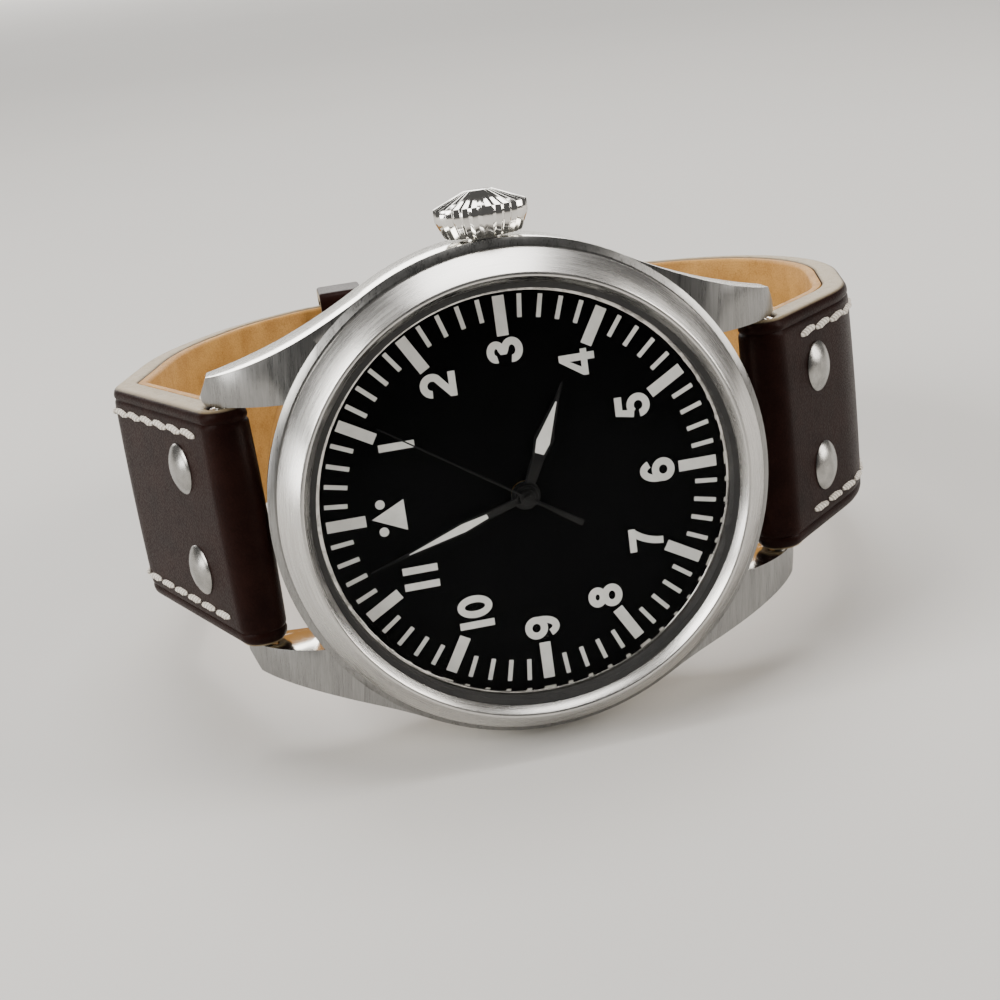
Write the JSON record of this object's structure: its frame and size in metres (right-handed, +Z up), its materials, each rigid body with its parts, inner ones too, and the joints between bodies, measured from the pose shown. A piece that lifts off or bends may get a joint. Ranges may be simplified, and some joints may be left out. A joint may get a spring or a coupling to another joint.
{
  "type": "wristwatch",
  "caption": "Round pilot wristwatch with a black dial, sword hands, long-lug steel case, fluted crown and a riveted leather strap buckled into a loop.",
  "frame": {"origin": "under the middle of the whole watch, on the surface it lies on", "axes": "+Z up, the short way across the strap with the crown on top; -Y is the way the dial faces, leaning 8.3 degrees up; -X runs to twelve o'clock"},
  "size_m": [0.0706, 0.071, 0.0437],
  "materials": {
    "case_steel": "satin brushed",
    "bezel_steel": "circular brushed",
    "polished_steel": "polished",
    "crystal": "clear, polished",
    "gasket": "matte",
    "dial_black": "matte",
    "print_white": "matte luminous paint",
    "hand_black": "satin black",
    "movement_ring": "satin",
    "plate": "plated, satin",
    "movement_steel": "fine ground",
    "wheel_brass": "gilt",
    "jewel": "polished",
    "strap_leather": "smooth, waxed",
    "lining_leather": "plain"
  },
  "bodies": {
    "case": {"case_middle": "case_steel", "bezel": "bezel_steel", "crystal": "crystal", "crystal_gasket": "gasket", "inner_flange": "polished_steel", "dial": "dial_black", "dial_print": "print_white", "movement_ring": "movement_ring", "case_back": "case_steel", "case_back_gasket": "gasket", "crown_tube": "polished_steel", "main_plate": "plate", "barrel_bridge": "plate", "train_bridge": "plate", "pallet_bridge": "plate", "balance_cock": "plate", "movement_screws": "movement_steel", "jewels": "jewel", "mainspring": "movement_steel", "hairspring": "movement_steel", "spring_bars": "polished_steel", "strap_short": "strap_leather", "strap_long": "strap_leather", "strap_lining": "lining_leather", "rivets": "polished_steel", "buckle_bar": "polished_steel", "fixed_keeper": "strap_leather"},
    "winding": {"winding_pinion": "movement_steel"},
    "crown": {"crown": "polished_steel", "crown_gasket": "gasket", "winding_stem": "movement_steel"},
    "clutch": {"sliding_pinion": "movement_steel"},
    "ratchet": {"ratchet_wheel": "movement_steel", "barrel_arbor": "movement_steel"},
    "crown_wheel": {"crown_wheel": "movement_steel"},
    "click": {"click": "movement_steel"},
    "barrel": {"barrel": "wheel_brass"},
    "great_wheel": {"great_wheel": "wheel_brass"},
    "third_wheel": {"third_wheel": "wheel_brass"},
    "seconds": {"seconds_wheel": "wheel_brass", "seconds_hand": "hand_black"},
    "escape_wheel": {"escape_wheel": "movement_steel"},
    "pallet_fork": {"pallet_fork": "movement_steel"},
    "balance": {"balance_wheel": "wheel_brass"},
    "minutes": {"cannon_pinion": "movement_steel", "minute_hand": "hand_black", "minute_fill": "print_white"},
    "minute_wheel": {"minute_wheel": "wheel_brass"},
    "hours": {"hour_wheel": "wheel_brass", "hour_hand": "hand_black", "hour_fill": "print_white"},
    "setting_wheel": {"setting_wheel": "wheel_brass"},
    "tip_12_crown": {"bar_tip_12_crown": "polished_steel"},
    "tip_12_far": {"bar_tip_12_far": "polished_steel"},
    "tip_6_crown": {"bar_tip_6_crown": "polished_steel"},
    "tip_6_far": {"bar_tip_6_far": "polished_steel"},
    "buckle": {"buckle_frame": "polished_steel"},
    "tongue": {"buckle_tongue": "polished_steel"},
    "free_keeper": {"free_keeper": "strap_leather"}
  },
  "joints": [
    {"name": "crown_turn", "type": "hinge", "parent": "case", "child": "winding", "pos_m": [-0.00283, -0.02518, 0.03208], "axis": [0, 0.1443, 0.9895], "continuous": true},
    {"name": "crown_pull", "type": "slide", "parent": "winding", "child": "crown", "axis": [0, 0.1443, 0.9895], "range_m": [0, 0.0016]},
    {"name": "clutch_slide", "type": "slide", "parent": "winding", "child": "clutch", "axis": [0, 0.1443, 0.9895], "range_m": [-0.0008, 0]},
    {"name": "crown_wheel_turn", "type": "hinge", "parent": "case", "child": "crown_wheel", "pos_m": [-0.00283, -0.02573, 0.02832], "axis": [0, -0.9895, 0.1443], "continuous": true},
    {"name": "ratchet_turn", "type": "hinge", "parent": "case", "child": "ratchet", "pos_m": [-0.0092, -0.02621, 0.025], "axis": [0, -0.9895, 0.1443], "continuous": true},
    {"name": "click_swing", "type": "hinge", "parent": "case", "child": "click", "pos_m": [-0.01361, -0.02647, 0.02324], "axis": [0, -0.9895, 0.1443], "range_deg": [0, 8], "stiffness_Nm_per_rad": 0.0005, "springref_deg": -5.73},
    {"name": "barrel_turn", "type": "hinge", "parent": "case", "child": "barrel", "pos_m": [-0.0092, -0.02621, 0.025], "axis": [0, -0.9895, 0.1443], "continuous": true},
    {"name": "great_turn", "type": "hinge", "parent": "case", "child": "great_wheel", "pos_m": [-0.00831, -0.02694, 0.02], "axis": [0, -0.9895, 0.1443], "continuous": true},
    {"name": "third_turn", "type": "hinge", "parent": "case", "child": "third_wheel", "pos_m": [-0.00547, -0.02731, 0.01747], "axis": [0, -0.9895, 0.1443], "continuous": true},
    {"name": "seconds_turn", "type": "hinge", "parent": "case", "child": "seconds", "pos_m": [-0.00283, -0.02691, 0.02021], "axis": [0, -0.9895, 0.1443], "continuous": true},
    {"name": "escape_turn", "type": "hinge", "parent": "case", "child": "escape_wheel", "pos_m": [-0.00026, -0.02729, 0.01766], "axis": [0, -0.9895, 0.1443], "continuous": true},
    {"name": "pallet_swing", "type": "hinge", "parent": "case", "child": "pallet_fork", "pos_m": [0.00245, -0.02735, 0.01719], "axis": [0, -0.9895, 0.1443], "range_deg": [-5, 5]},
    {"name": "balance_swing", "type": "hinge", "parent": "case", "child": "balance", "pos_m": [0.00513, -0.02713, 0.01872], "axis": [0, -0.9895, 0.1443], "range_deg": [-270, 270]},
    {"name": "minutes_turn", "type": "hinge", "parent": "case", "child": "minutes", "pos_m": [-0.00283, -0.02691, 0.02021], "axis": [0, -0.9895, 0.1443], "continuous": true},
    {"name": "minute_wheel_turn", "type": "hinge", "parent": "case", "child": "minute_wheel", "pos_m": [-0.00033, -0.02648, 0.02317], "axis": [0, -0.9895, 0.1443], "continuous": true},
    {"name": "hours_turn", "type": "hinge", "parent": "case", "child": "hours", "pos_m": [-0.00283, -0.02691, 0.02021], "axis": [0, -0.9895, 0.1443], "continuous": true},
    {"name": "setting_turn", "type": "hinge", "parent": "case", "child": "setting_wheel", "pos_m": [-0.00334, -0.02599, 0.02654], "axis": [0, -0.9895, 0.1443], "continuous": true},
    {"name": "tip_12_crown_slide", "type": "slide", "parent": "case", "child": "tip_12_crown", "axis": [0, -0.1443, -0.9895], "range_m": [0, 0.0012], "stiffness_N_per_m": 200, "springref_m": -0.002},
    {"name": "tip_12_far_slide", "type": "slide", "parent": "case", "child": "tip_12_far", "axis": [0, 0.1443, 0.9895], "range_m": [0, 0.0012], "stiffness_N_per_m": 200, "springref_m": -0.002},
    {"name": "tip_6_crown_slide", "type": "slide", "parent": "case", "child": "tip_6_crown", "axis": [0, -0.1443, -0.9895], "range_m": [0, 0.0012], "stiffness_N_per_m": 200, "springref_m": -0.002},
    {"name": "tip_6_far_slide", "type": "slide", "parent": "case", "child": "tip_6_far", "axis": [0, 0.1443, 0.9895], "range_m": [0, 0.0012], "stiffness_N_per_m": 200, "springref_m": -0.002},
    {"name": "buckle_hinge", "type": "hinge", "parent": "case", "child": "buckle", "pos_m": [0.00017, 0.02791, 0.01221], "axis": [0, 0.1443, 0.9895], "range_deg": [0, 3]},
    {"name": "tongue_hinge", "type": "hinge", "parent": "buckle", "child": "tongue", "pos_m": [0.00017, 0.02791, 0.01221], "axis": [0, 0.1443, 0.9895], "range_deg": [0, 5]},
    {"name": "keeper_slide", "type": "slide", "parent": "case", "child": "free_keeper", "axis": [-1, 0, 0], "range_m": [-0.0015, 0.001]}
  ],
  "couplings": [
    {"joint": "clutch_slide", "follows": "crown_pull", "ratio": -0.5},
    {"joint": "crown_wheel_turn", "follows": "crown_turn", "ratio": -0.375},
    {"joint": "ratchet_turn", "follows": "crown_turn", "ratio": 0.3},
    {"joint": "third_turn", "follows": "seconds_turn", "ratio": -0.125},
    {"joint": "great_turn", "follows": "seconds_turn", "ratio": 0.016667},
    {"joint": "barrel_turn", "follows": "seconds_turn", "ratio": -0.0023148},
    {"joint": "escape_turn", "follows": "seconds_turn", "ratio": -12},
    {"joint": "minute_wheel_turn", "follows": "minutes_turn", "ratio": -0.33333},
    {"joint": "hours_turn", "follows": "minutes_turn", "ratio": 0.083333},
    {"joint": "setting_turn", "follows": "minutes_turn", "ratio": 0.6}
  ]
}
